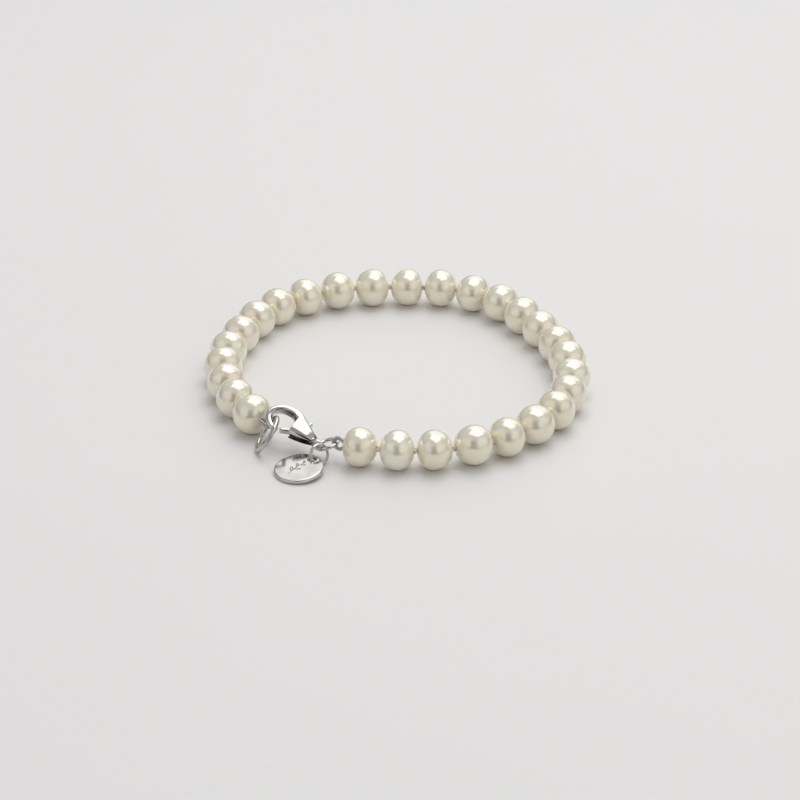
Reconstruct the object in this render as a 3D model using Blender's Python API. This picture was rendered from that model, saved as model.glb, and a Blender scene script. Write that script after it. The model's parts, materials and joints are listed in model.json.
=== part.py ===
# A knotted pearl bracelet with a lobster clasp and a round tag, lying closed on a surface.
# Units are metres, +Z is up. The pearls lie on z = 0, and the whole piece is centred on the origin.

import math

import bmesh
import bpy
import numpy as np
from mathutils import Matrix, Vector

# Pearls
PEARL_COUNT = 28
PEARL_GIRTH = 0.0065        # across the drill hole
PEARL_LENGTH = 0.00525      # along the drill hole
PEARL_BORE = 0.0009
PEARL_SIDES = 14
PEARL_BANDS = 7             # odd, so that a flat band runs round the middle
PEARL_FULLNESS = 0.86       # under 1 makes the profile fuller than an ellipse

# Silk thread, knotted between the pearls
THREAD_DIAMETER = 0.0005
KNOT_DIAMETER = 0.0011
KNOT_SPACE = 0.0009         # from one pearl to the next
KNOT_CLEARANCE = 0.00013
KNOT_FLANK = 0.35           # where the knot is first at its thickest, as a share of the space
THREAD_SIDES = 6

# Coiled wire loops at the two ends of the string
COIL_DIAMETER = 0.0007
COIL_LOOP_WIDTH = 0.0027
COIL_REACH = 0.00145        # from the pearl to the middle of the wire that the loop holds
COIL_STAND_OFF = 0.00038
COIL_LEAD = 0.0002          # straight wire that leaves the pearl
COIL_BEND_REACH = math.radians(110.0)   # to each side of the loop's far point
COIL_BEND_SEGMENTS = 11
COIL_SAG_AT_RING = 0.0003   # this loop slopes down to the closing ring
COIL_SLACK_AT_RING = 0.00035    # the closing ring passes through its loop at a slant

# Rings
CLOSING_RING_OUTER = 0.0068
CLOSING_RING_WIRE = 0.00078
JUMP_RING_OUTER = 0.0040
JUMP_RING_WIRE = 0.0006
TAG_RING_OUTER = 0.0037
TAG_RING_WIRE = 0.0005
LINK_CLEARANCE = 0.00008
HOOK_SLACK = 0.00060        # play of the closing ring on the hook
TAG_RING_PLAY = 0.00008     # between the tag's ring and the jump ring
EYE_SLACK = 0.00010         # from the middle of the clasp's eye to the jump ring's wire
RING_SEGMENTS = 16
WIRE_SIDES = 6

# Tag
TAG_DIAMETER = 0.0080
TAG_THICKNESS = 0.00065
TAG_EDGE_BEVEL = 0.00015
TAG_HOLE = 0.0015
TAG_HOLE_RIM = 0.0004
TAG_SIDES = 28

# Clasp
CLASP_LENGTH = 0.0110       # from the head of the hook to the end of the tail eye
CLASP_WIDTH = 0.0050
CLASP_THICKNESS = 0.0026
EYE_HOLE = 0.0013
EYE_WIRE = 0.0007
PIN_DIAMETER = 0.0007
PIN_CLEARANCE = 0.00006
LEVER_THICKNESS = 0.0012
LEVER_CLEARANCE = 0.0001
GATE_WIDTH = 0.00075
GATE_END_GAP = 0.00025
NUB_WIDTH = 0.0007
NUB_STAND_OUT = 0.0006
BOSS_DIAMETER = 0.0015
GATE_THINNING = 0.96        # thickness of the gate and of the nub, as shares of the boss's
NUB_THINNING = 0.94
NUB_TAPER = 0.8             # width at the pin, as a share of NUB_WIDTH
TAPER_START = 0.6           # how far out a bar keeps its first width

# How the clasp lies: it dips towards the tail and its lever side lies low
CLASP_DIP = math.radians(17.5)
CLASP_ROLL = math.radians(25.0)
RING_TILT = math.radians(65.0)      # of the closing ring against the plane of the clasp
RING_CROSSING = math.radians(103.0)     # bearing of the line in which those planes meet
RING_HANG = math.radians(45.0)      # round the ring, from that line to where it holds the arm
GATE_BEARING = math.radians(207.0)  # seen from above, from the pin to the end of the gate
NUB_BEARING = math.radians(80.0)
JUMP_RING_BEND = math.radians(8.0)  # of the jump ring against the clasp, seen from above
TAG_RING_PLACE = math.radians(-110.5)   # round the jump ring
TAG_RING_LEAN = math.radians(21.0)      # of the tag's ring out of the upright, towards the front
TAG_RING_DROP = math.radians(54.0)      # from level to the line in which the tag's ring hangs
TAG_HOLD = math.radians(27.5)       # from level to where that ring holds the tag
TAG_BEARING = math.radians(245.0)

# Where the first pearl's mouth lies on the route, as a bearing from the middle of the loop
STRING_START = math.radians(-106.5)

# Route of the string: bearing in degrees, and distance from the middle as a share of the radius
STRING_ROUTE = (
    (-122, 0.985),
    (-104, 0.975),
    (-82, 1.010),
    (-56, 1.035),
    (-33, 1.030),
    (-10, 0.993),
    (15, 0.952),
    (35, 0.948),
    (53, 1.006),
    (68, 1.035),
    (88, 1.003),
    (111, 1.022),
    (133, 1.027),
    (150, 0.982),
    (175, 0.980),
    (200, 0.975),
    (219, 0.990),
)

# Each pearl's length and girth, as shares of PEARL_LENGTH and PEARL_GIRTH
PEARL_SHARES = (
    (0.97, 0.99), (0.98, 1.00), (1.00, 1.00), (1.08, 1.01), (0.96, 0.98), (1.07, 1.00), (1.02, 1.01),
    (1.00, 0.99), (0.97, 0.98), (1.00, 1.00), (1.02, 1.00), (0.98, 0.99), (1.00, 1.00), (1.04, 1.01),
    (0.99, 0.99), (0.98, 1.00), (0.98, 0.99), (1.02, 1.01), (1.00, 1.00), (0.98, 0.99), (1.02, 1.00),
    (1.01, 1.01), (0.98, 0.99), (0.97, 0.98), (1.00, 1.00), (1.01, 1.00), (1.03, 1.01), (1.04, 1.02),
)

# Sections of the clasp's body, from the tail to the mouth. In the clasp's own frame the pin is the
# origin, +X points to the tail, +Y to the spine side and +Z out of the face.
# Columns: place along (of CLASP_LENGTH), lever edge and spine edge (of CLASP_WIDTH),
# thickness (of CLASP_THICKNESS)
BODY_SECTIONS = (
    (0.255, -0.180, 0.060, 0.44),
    (0.180, -0.225, 0.150, 0.66),
    (0.075, -0.275, 0.275, 0.88),
    (-0.040, -0.320, 0.415, 1.00),
    (-0.155, -0.355, 0.545, 0.98),
)

# Sections of the hook's arm. It leaves the body on the spine side and runs round the head.
# Columns: bearing in degrees round the middle of the hook, width (of CLASP_WIDTH),
# thickness (of CLASP_THICKNESS)
ARM_SECTIONS = (
    (57, 0.330, 0.92),
    (73, 0.260, 0.86),
    (90, 0.218, 0.79),
    (112, 0.208, 0.71),
    (134, 0.204, 0.63),
    (156, 0.200, 0.56),
    (178, 0.197, 0.50),
    (200, 0.192, 0.45),
    (222, 0.184, 0.41),
    (244, 0.172, 0.38),
    (266, 0.150, 0.34),
)
HOOK_MIDDLE = (-0.314, 0.042)       # of CLASP_LENGTH and CLASP_WIDTH
HOOK_REACH = (0.256, 0.412)         # half axes of the arm's centre line, the same way
ARM_ROOT = (-0.085, 0.300)          # inside the body, the same way
ARM_ROOT_SECTION = (0.300, 0.90)
EYE_MIDDLE = (0.310, -0.105)        # the same way
SLOT_FLOOR = (0.150, 0.200)         # tailward and spineward ends of the lever's slot, the same way
SECTION_SIDES = 12
SECTION_SQUARENESS = 0.72           # under 1 makes a section squarer than an ellipse

# Edges that turn more than this are shaded as corners.
SHARP_EDGE = math.radians(50.0)

# Finishes: colour, roughness, metallic
PEARL_FINISH = ((0.83, 0.78, 0.70), 0.18, 0.0)
SILK_FINISH = ((0.86, 0.80, 0.66), 0.75, 0.0)
SILVER_FINISH = ((0.87, 0.86, 0.83), 0.16, 1.0)
COIL_FINISH = ((0.84, 0.83, 0.80), 0.28, 1.0)


def clear_scene():
    for item in list(bpy.data.objects):
        bpy.data.objects.remove(item, do_unlink=True)


def make_material(name, finish):
    colour, roughness, metallic = finish
    material = bpy.data.materials.new(name)
    material.use_nodes = True
    shader = material.node_tree.nodes["Principled BSDF"]
    shader.inputs["Base Color"].default_value = (*colour, 1.0)
    shader.inputs["Roughness"].default_value = roughness
    shader.inputs["Metallic"].default_value = metallic
    return material


def make_empty(name, parent=None, matrix=None):
    empty = bpy.data.objects.new(name, None)
    empty.empty_display_size = PEARL_GIRTH
    bpy.context.scene.collection.objects.link(empty)
    empty.parent = parent
    if matrix is not None:
        empty.matrix_local = matrix
    return empty


def make_object(name, mesh, parent, matrix, finish):
    piece = bpy.data.objects.new(name, mesh)
    bpy.context.scene.collection.objects.link(piece)
    piece.parent = parent
    piece.matrix_local = matrix
    mesh.materials.append(make_material(name, finish))
    mesh.shade_smooth()
    mesh.set_sharp_from_angle(angle=SHARP_EDGE)
    return piece


def make_guide(name, mesh, parent, matrix):
    guide = bpy.data.objects.new(name, mesh)
    bpy.context.scene.collection.objects.link(guide)
    guide.parent = parent
    guide.matrix_local = matrix
    guide.hide_render = True
    guide.display_type = "WIRE"
    return guide


def add_boolean(piece, guide, operation):
    modifier = piece.modifiers.new(guide.name, "BOOLEAN")
    modifier.object = guide
    modifier.operation = operation
    modifier.solver = "EXACT"


def mesh_from_rings(name, rings, closed):
    # Skins equal rings of points in turn. An open run gets a flat cap at each end.
    model = bmesh.new()
    loops = [[model.verts.new(point) for point in ring] for ring in rings]
    count = len(loops[0])
    pairs = list(zip(loops, loops[1:]))
    if closed:
        pairs.append((loops[-1], loops[0]))
    for first, second in pairs:
        for side in range(count):
            after = (side + 1) % count
            model.faces.new((first[side], first[after], second[after], second[side]))
    if not closed:
        model.faces.new(reversed(loops[0]))
        model.faces.new(loops[-1])
    bmesh.ops.recalc_face_normals(model, faces=model.faces)
    mesh = bpy.data.meshes.new(name)
    model.to_mesh(mesh)
    model.free()
    return mesh


def round_section(sides):
    # The half step turns a flat side, not a corner, downwards.
    angles = [2 * math.pi * (side + 0.5) / sides - math.pi / 2 for side in range(sides)]
    return [(math.cos(angle), math.sin(angle)) for angle in angles]


def squared_section(sides):
    rounded = round_section(sides)
    return [tuple(math.copysign(abs(value) ** SECTION_SQUARENESS, value) for value in point)
            for point in rounded]


def tube_mesh(name, path, radii, sides, flat_normal=None, closed=False):
    # Sweeps a round section along the path. The section turns as little as it can,
    # or keeps one side towards flat_normal where the path is flat.
    points = [Vector(point) for point in path]
    count = len(points)
    section = round_section(sides)
    rings = []
    normal = Vector(flat_normal) if flat_normal else Vector((0, 0, 1))
    for index, point in enumerate(points):
        before = points[(index - 1) % count] if closed or index else point
        after = points[(index + 1) % count] if closed or index < count - 1 else point
        along = (after - before).normalized()
        normal = (normal - along * normal.dot(along)).normalized()
        across = normal.cross(along)
        radius = radii[index]
        rings.append([point + across * (radius * u) + normal * (radius * v) for u, v in section])
    return mesh_from_rings(name, rings, closed)


def ring_mesh(name, outer, wire, segments=RING_SEGMENTS):
    # A wire ring round the local Z axis
    middle = (outer - wire) / 2
    turns = [2 * math.pi * step / segments for step in range(segments)]
    path = [(middle * math.cos(turn), middle * math.sin(turn), 0) for turn in turns]
    return tube_mesh(name, path, [wire / 2] * segments, WIRE_SIDES, (0, 0, 1), closed=True)


def cylinder_mesh(name, diameter, length, sides):
    model = bmesh.new()
    bmesh.ops.create_cone(model, cap_ends=True, segments=sides, radius1=diameter / 2,
                          radius2=diameter / 2, depth=length)
    mesh = bpy.data.meshes.new(name)
    model.to_mesh(mesh)
    model.free()
    return mesh


def box_mesh(name, low, high):
    corners = [(x, y) for x, y in ((low[0], low[1]), (high[0], low[1]), (high[0], high[1]),
                                   (low[0], high[1]))]
    rings = [[(x, y, z) for x, y in corners] for z in (low[2], high[2])]
    return mesh_from_rings(name, rings, closed=False)


def axes_matrix(origin, x_axis, z_hint):
    # A frame whose X is x_axis and whose Z is as near to z_hint as it can be
    along = Vector(x_axis).normalized()
    up = Vector(z_hint)
    up = (up - along * up.dot(along)).normalized()
    across = up.cross(along)
    matrix = Matrix((along, across, up)).transposed().to_4x4()
    matrix.translation = Vector(origin)
    return matrix


def pearl_length(index):
    return PEARL_LENGTH * PEARL_SHARES[index % len(PEARL_SHARES)][0]


def pearl_girth(index):
    return PEARL_GIRTH * PEARL_SHARES[index % len(PEARL_SHARES)][1]


def unit_route(steps=1440):
    # The closed route at radius 1, as a smooth curve through its chosen points
    bearings = [math.radians(row[0]) for row in STRING_ROUTE]
    shares = [row[1] for row in STRING_ROUTE]
    count = len(bearings)
    full = 2 * math.pi

    def row(index):
        turns, place = divmod(index, count)
        return bearings[place] + full * turns, shares[place]

    curve = []
    for step in range(steps):
        bearing = bearings[0] + full * step / steps
        index = max(place for place in range(count) if bearings[place] <= bearing + 1e-9)
        (a0, r0), (a1, r1), (a2, r2), (a3, r3) = (row(index + shift) for shift in (-1, 0, 1, 2))
        share = (bearing - a1) / (a2 - a1)
        slope1 = (r2 - r0) / (a2 - a0) * (a2 - a1)
        slope2 = (r3 - r1) / (a3 - a1) * (a2 - a1)
        radius = ((2 * share ** 3 - 3 * share ** 2 + 1) * r1 + (share ** 3 - 2 * share ** 2 + share) * slope1
                  + (3 * share ** 2 - 2 * share ** 3) * r2 + (share ** 3 - share ** 2) * slope2)
        curve.append((radius * math.cos(bearing), radius * math.sin(bearing)))
    curve.append(curve[0])
    return np.array(curve)


class Route:
    # The string's route at a radius, read by the distance along it from the first pearl's mouth
    def __init__(self, unit, radius):
        self.points = unit * radius
        steps = np.linalg.norm(np.diff(self.points, axis=0), axis=1)
        self.lengths = np.concatenate(([0.0], np.cumsum(steps)))
        start = (STRING_START - math.radians(STRING_ROUTE[0][0])) / (2 * math.pi)
        self.start = np.interp(start * (len(self.points) - 1), np.arange(len(self.points)), self.lengths)

    def at(self, distance):
        place = (self.start + distance) % self.lengths[-1]
        return Vector((np.interp(place, self.lengths, self.points[:, 0]),
                       np.interp(place, self.lengths, self.points[:, 1])))


def string_length():
    return sum(pearl_length(index) for index in range(PEARL_COUNT)) + KNOT_SPACE * (PEARL_COUNT - 1)


def solve_route(span):
    # Finds the radius at which the string's two ends lie one span of the clasp and rings apart.
    unit = unit_route()
    length = string_length()
    around = np.linalg.norm(np.diff(unit, axis=0), axis=1).sum()
    low = (length + span / 2) / around
    high = (length + span * 2) / around
    for _ in range(50):
        radius = (low + high) / 2
        route = Route(unit, radius)
        if (route.at(length) - route.at(0)).length < span:
            low = radius
        else:
            high = radius
    return Route(unit, radius)


def clasp_point(share, height=0.0):
    return Vector((share[0] * CLASP_LENGTH, share[1] * CLASP_WIDTH, height))


def arm_point(bearing):
    middle = clasp_point(HOOK_MIDDLE)
    reach = clasp_point(HOOK_REACH)
    return middle + Vector((reach.x * math.cos(bearing), reach.y * math.sin(bearing), 0))


def gate_length():
    # From the pin to the end of the gate, which stops short of the tip of the hook
    bearing, width, _ = ARM_SECTIONS[-1]
    tip = arm_point(math.radians(bearing))
    inner_corner = tip + Vector((0, width * CLASP_WIDTH / 2, 0))
    return inner_corner.length - GATE_END_GAP


def lay_out_chain():
    # Places the clasp, rings, loops and tag in a frame of their own, with z = 0 the surface.
    # Everything is found in turn from the piece that it hangs on.
    turn = Matrix.Rotation(CLASP_DIP, 3, "Y") @ Matrix.Rotation(CLASP_ROLL, 3, "X")
    places = {}

    ring_radius = (CLOSING_RING_OUTER - CLOSING_RING_WIRE) / 2
    bearing, width, thickness = ARM_SECTIONS[-2]
    arm = arm_point(math.radians(bearing))
    arm_radius = max(width * CLASP_WIDTH, thickness * CLASP_THICKNESS) / 2
    offset = ring_radius - arm_radius - CLOSING_RING_WIRE / 2 - HOOK_SLACK
    crossing = Vector((math.cos(RING_CROSSING), math.sin(RING_CROSSING), 0))
    axis = Matrix.Rotation(-RING_TILT, 3, crossing) @ Vector((0, 0, 1))
    climb = crossing.cross(axis)
    towards = crossing * math.cos(RING_HANG) + climb * math.sin(RING_HANG)
    ring_middle = turn @ (arm - towards * offset)
    ring_axis = turn @ axis
    upright = math.sqrt(1 - ring_axis.z ** 2)
    lift = ring_radius * upright + CLOSING_RING_WIRE / 2 - ring_middle.z
    pin = Vector((0, 0, lift))
    ring_middle = ring_middle + pin
    places["clasp"] = Matrix.Translation(pin) @ turn.to_4x4()
    level = ring_axis.cross(Vector((0, 0, 1))).normalized()
    rise = level.cross(ring_axis)
    places["closing_ring"] = axes_matrix(ring_middle, level, ring_axis)

    last_mouth = pearl_girth(PEARL_COUNT - 1) / 2
    first_mouth = pearl_girth(0) / 2
    sine = (last_mouth - COIL_SAG_AT_RING - ring_middle.z) / (ring_radius * rise.z)
    cosine = math.sqrt(1 - sine ** 2)
    held_ring = ring_middle + ring_radius * (level * cosine + rise * sine)
    held_run = rise * cosine - level * sine

    jump_radius = (JUMP_RING_OUTER - JUMP_RING_WIRE) / 2
    eye = pin + turn @ clasp_point(EYE_MIDDLE)
    slope = math.asin((first_mouth - eye.z) / (EYE_SLACK + 2 * jump_radius))
    ahead = Vector((math.cos(JUMP_RING_BEND), math.sin(JUMP_RING_BEND), 0))
    side = Vector((-ahead.y, ahead.x, 0))
    along = ahead * math.cos(slope) + Vector((0, 0, math.sin(slope)))
    jump_middle = eye + along * (EYE_SLACK + jump_radius)
    held_jump = jump_middle + along * jump_radius
    places["jump_ring"] = axes_matrix(jump_middle, along, Vector((0, 0, 1)))

    line = held_jump - held_ring
    line.z = 0
    line.normalize()
    level_reach = math.sqrt(COIL_REACH ** 2 - COIL_SAG_AT_RING ** 2)
    ring_end = held_ring - line * level_reach + Vector((0, 0, COIL_SAG_AT_RING))
    tag_end = held_jump + line * COIL_REACH
    places["ring_end"] = ring_end
    places["tag_end"] = tag_end
    places["coil_loop_ring_end"] = axes_matrix(ring_end, held_ring - ring_end, held_run)
    places["coil_loop_tag_end"] = axes_matrix(tag_end, held_jump - tag_end, side)

    hang = jump_middle + jump_radius * (along * math.cos(TAG_RING_PLACE) + side * math.sin(TAG_RING_PLACE))
    bearing = Vector((math.cos(TAG_BEARING), math.sin(TAG_BEARING), 0))
    beside = Vector((-bearing.y, bearing.x, 0))
    down = Vector((0, 0, -1))
    fall = down * math.cos(TAG_RING_LEAN) + beside * math.sin(TAG_RING_LEAN)
    drop = bearing * math.cos(TAG_RING_DROP) + fall * math.sin(TAG_RING_DROP)
    tag_ring_radius = (TAG_RING_OUTER - TAG_RING_WIRE) / 2
    past = (JUMP_RING_WIRE + TAG_RING_WIRE) / 2 + TAG_RING_PLAY
    tag_ring_middle = hang + drop * (tag_ring_radius - past)
    places["tag_ring"] = axes_matrix(tag_ring_middle, drop, bearing.cross(fall))

    hole = tag_ring_middle + tag_ring_radius * (bearing * math.cos(TAG_HOLD) + fall * math.sin(TAG_HOLD))
    hole_offset = TAG_DIAMETER / 2 - TAG_HOLE_RIM - TAG_HOLE / 2
    reach = hole_offset + TAG_DIAMETER / 2
    tilt = solve_tag_tilt(hole.z, reach)
    lean = bearing * math.cos(tilt) + down * math.sin(tilt)
    places["tag"] = axes_matrix(hole + lean * hole_offset, -lean, Vector((0, 0, 1)))
    return places


def solve_tag_tilt(height, reach):
    # The tag hangs by its hole at this height and rests on the lower rim of its far edge.
    low, high = 0.0, math.pi / 3
    for _ in range(40):
        tilt = (low + high) / 2
        rim = height - reach * math.sin(tilt) - TAG_THICKNESS / 2 * math.cos(tilt)
        if rim > 0:
            low = tilt
        else:
            high = tilt
    return tilt


def pearl_mesh(name, length, girth):
    # Turned round the local X axis, with its drill hole open at both ends
    bore = PEARL_BORE / 2
    first = math.asin((bore / (girth / 2)) ** (1 / PEARL_FULLNESS))
    steps = [first + (math.pi - 2 * first) * band / PEARL_BANDS for band in range(PEARL_BANDS + 1)]
    widest = math.sin(steps[PEARL_BANDS // 2]) ** PEARL_FULLNESS
    flat = 1 / math.cos(math.pi / PEARL_SIDES)
    section = round_section(PEARL_SIDES)
    rings = []
    for number, step in enumerate(steps):
        at_end = number in (0, PEARL_BANDS)
        radius = bore if at_end else girth / 2 * math.sin(step) ** PEARL_FULLNESS / widest
        place = -length / 2 * math.cos(step) / math.cos(first)
        rings.append([(place, radius * flat * u, radius * flat * v) for u, v in section])
    return mesh_from_rings(name, rings, closed=True)


def build_pearls(route, parent):
    distance = 0.0
    mouths = []
    for index in range(PEARL_COUNT):
        length = pearl_length(index)
        girth = pearl_girth(index)
        start = route.at(distance)
        end = route.at(distance + length)
        middle = ((start + end) / 2).to_3d()
        middle.z = girth / 2
        along = (end - start).normalized().to_3d()
        name = f"pearl_{index + 1:02d}"
        place = axes_matrix(middle, along, (0, 0, 1))
        make_object(name, pearl_mesh(name, length, girth), parent, place, PEARL_FINISH)
        mouths.append((middle - along * length / 2, middle + along * length / 2))
        distance += length + KNOT_SPACE
    return mouths


def build_thread(mouths, parent):
    thin = THREAD_DIAMETER / 2
    thick = KNOT_DIAMETER / 2
    first, last = mouths[0], mouths[-1]
    inset = THREAD_DIAMETER
    path = [first[0] + (first[1] - first[0]).normalized() * inset]
    radii = [thin]
    for (_, leave), (enter, _) in zip(mouths, mouths[1:]):
        gap = enter - leave
        neck = KNOT_CLEARANCE / gap.length
        knot = ((0, thin), (neck, thin), (KNOT_FLANK, thick),
                (1 - KNOT_FLANK, thick), (1 - neck, thin), (1, thin))
        for share, radius in knot:
            path.append(leave + gap * share)
            radii.append(radius)
    path.append(last[1] - (last[1] - last[0]).normalized() * inset)
    radii.append(thin)
    mesh = tube_mesh("silk_thread", path, radii, THREAD_SIDES, (0, 0, 1))
    make_object("silk_thread", mesh, parent, Matrix(), SILK_FINISH)


def build_coil_loop(name, held_wire, slack, matrix, parent):
    # Leaves the pearl's mouth, runs round the wire that it holds and comes back to the mouth.
    coil = COIL_DIAMETER / 2
    bend = (COIL_LOOP_WIDTH - COIL_DIAMETER) / 2
    middle = COIL_REACH + held_wire / 2 + slack + coil - bend
    mouth = coil + LINK_CLEARANCE
    bends = np.linspace(COIL_BEND_REACH, -COIL_BEND_REACH, COIL_BEND_SEGMENTS + 1)
    path = [(COIL_STAND_OFF, mouth, 0), (COIL_STAND_OFF + COIL_LEAD, mouth, 0)]
    path += [(middle + bend * math.cos(angle), bend * math.sin(angle), 0) for angle in bends]
    path += [(x, -y, z) for x, y, z in reversed(path[:2])]
    mesh = tube_mesh(name, path, [coil] * len(path), WIRE_SIDES, (0, 0, 1))
    make_object(name, mesh, parent, matrix, COIL_FINISH)


def section_ring(place, across, width, thickness, section):
    # A section that stands on the clasp's plane: across is its level direction.
    up = Vector((0, 0, 1))
    return [place + across * (width / 2 * u) + up * (thickness / 2 * v) for u, v in section]


def clasp_body_mesh():
    section = squared_section(SECTION_SIDES)
    rings = []
    for along, near, far, thickness in BODY_SECTIONS:
        place = clasp_point((along, (near + far) / 2))
        width = (far - near) * CLASP_WIDTH
        rings.append(section_ring(place, Vector((0, 1, 0)), width, thickness * CLASP_THICKNESS, section))
    return mesh_from_rings("clasp_body", rings, closed=False)


def clasp_arm_mesh():
    section = round_section(SECTION_SIDES)
    root = clasp_point(ARM_ROOT)
    width, thickness = ARM_ROOT_SECTION
    rings = [section_ring(root, Vector((0, 1, 0)), width * CLASP_WIDTH, thickness * CLASP_THICKNESS, section)]
    for bearing, width, thickness in ARM_SECTIONS:
        angle = math.radians(bearing)
        reach = clasp_point(HOOK_REACH)
        tangent = Vector((-reach.x * math.sin(angle), reach.y * math.cos(angle), 0)).normalized()
        across = tangent.cross(Vector((0, 0, 1)))
        rings.append(section_ring(arm_point(angle), across, width * CLASP_WIDTH,
                                  thickness * CLASP_THICKNESS, section))
    return mesh_from_rings("clasp_arm_guide", rings, closed=False)


def build_clasp_body(matrix, parent):
    frame = make_empty("clasp_frame", parent, matrix)
    body = make_object("clasp_body", clasp_body_mesh(), frame, Matrix(), SILVER_FINISH)

    slot = LEVER_THICKNESS / 2 + LEVER_CLEARANCE
    floor = clasp_point(SLOT_FLOOR)
    beyond = CLASP_LENGTH / 2
    lever_side = box_mesh("lever_slot_guide", (-beyond, -beyond, -slot), (floor.x, floor.y, slot))
    reach = floor.x + NUB_WIDTH / 2
    nub_side = box_mesh("nub_slot_guide", (-NUB_WIDTH, 0, -slot), (reach, beyond, slot))
    # The lever's slot is cut before the arm's root is joined, so the hook stays whole.
    add_boolean(body, make_guide("lever_slot_guide", lever_side, frame, Matrix()), "DIFFERENCE")
    add_boolean(body, make_guide("nub_slot_guide", nub_side, frame, Matrix()), "DIFFERENCE")
    add_boolean(body, make_guide("clasp_arm_guide", clasp_arm_mesh(), frame, Matrix()), "UNION")

    pin_hole = cylinder_mesh("pin_hole_guide", PIN_DIAMETER + 2 * PIN_CLEARANCE, CLASP_WIDTH, SECTION_SIDES)
    add_boolean(body, make_guide("pin_hole_guide", pin_hole, frame, Matrix()), "DIFFERENCE")

    eye = ring_mesh("eye_guide", EYE_HOLE + 2 * EYE_WIRE, EYE_WIRE)
    place = axes_matrix(clasp_point(EYE_MIDDLE), (1, 0, 0), (0, 1, 0))
    add_boolean(body, make_guide("eye_guide", eye, frame, place), "UNION")
    return frame


def build_pin(frame):
    length = BODY_SECTIONS[3][3] * CLASP_THICKNESS - 2 * PIN_CLEARANCE
    mesh = cylinder_mesh("clasp_pin", PIN_DIAMETER, length, SECTION_SIDES)
    make_object("clasp_pin", mesh, frame, Matrix(), SILVER_FINISH)


def bar_mesh(name, bearing, length, width, end_width, thickness):
    # A bar from the pin outwards, with rounded long edges
    along = Vector((math.cos(bearing), math.sin(bearing), 0))
    across = Vector((0, 0, 1)).cross(along)
    section = squared_section(SECTION_SIDES)
    rings = []
    for share, size in ((0.0, width), (TAPER_START, width), (1.0, end_width)):
        rings.append(section_ring(along * (length * share), across, size, thickness, section))
    return mesh_from_rings(name, rings, closed=False)


def spine_edge():
    # Distance from the pin to the edge of the body on the nub's side
    rows = sorted((row[0] * CLASP_LENGTH, row[2] * CLASP_WIDTH) for row in BODY_SECTIONS)
    places, edges = zip(*rows)
    edge = np.interp(0.0, places, edges)
    place = edge / math.tan(NUB_BEARING)
    return np.interp(place, places, edges) / math.sin(NUB_BEARING)


def build_lever(frame):
    lever_mesh = cylinder_mesh("clasp_lever", BOSS_DIAMETER, LEVER_THICKNESS, SECTION_SIDES)
    lever = make_object("clasp_lever", lever_mesh, frame, Matrix(), SILVER_FINISH)
    gate = bar_mesh("gate_guide", GATE_BEARING, gate_length(), GATE_WIDTH, GATE_WIDTH,
                    LEVER_THICKNESS * GATE_THINNING)
    nub_length = spine_edge() + NUB_STAND_OUT
    nub = bar_mesh("nub_guide", NUB_BEARING, nub_length, NUB_WIDTH * NUB_TAPER, NUB_WIDTH,
                   LEVER_THICKNESS * NUB_THINNING)
    hole = cylinder_mesh("lever_hole_guide", PIN_DIAMETER + 2 * PIN_CLEARANCE, CLASP_WIDTH, SECTION_SIDES)
    add_boolean(lever, make_guide("gate_guide", gate, frame, Matrix()), "UNION")
    add_boolean(lever, make_guide("nub_guide", nub, frame, Matrix()), "UNION")
    add_boolean(lever, make_guide("lever_hole_guide", hole, frame, Matrix()), "DIFFERENCE")


def build_tag(matrix, parent):
    # The tag's hole lies towards its local +X.
    radius = TAG_DIAMETER / 2
    half = TAG_THICKNESS / 2
    rows = ((radius - TAG_EDGE_BEVEL, -half), (radius, TAG_EDGE_BEVEL - half),
            (radius, half - TAG_EDGE_BEVEL), (radius - TAG_EDGE_BEVEL, half))
    section = round_section(TAG_SIDES)
    rings = [[(size * u, size * v, height) for u, v in section] for size, height in rows]
    tag = make_object("round_tag", mesh_from_rings("round_tag", rings, closed=False), parent, matrix,
                      SILVER_FINISH)
    hole = cylinder_mesh("tag_hole_guide", TAG_HOLE, TAG_DIAMETER, SECTION_SIDES)
    offset = Matrix.Translation((radius - TAG_HOLE_RIM - TAG_HOLE / 2, 0, 0))
    add_boolean(tag, make_guide("tag_hole_guide", hole, parent, matrix @ offset), "DIFFERENCE")


def centre_on_origin(root):
    # Moves the whole piece so that the middle of its box's floor is the origin.
    bpy.context.view_layer.update()
    graph = bpy.context.evaluated_depsgraph_get()
    corners = []
    for item in bpy.context.scene.objects:
        if item.type == "MESH" and not item.hide_render:
            shape = item.evaluated_get(graph)
            corners += [shape.matrix_world @ vertex.co for vertex in shape.data.vertices]
    points = np.array(corners)
    low = points.min(axis=0)
    high = points.max(axis=0)
    root.location = (-(low[0] + high[0]) / 2, -(low[1] + high[1]) / 2, -low[2])


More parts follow.
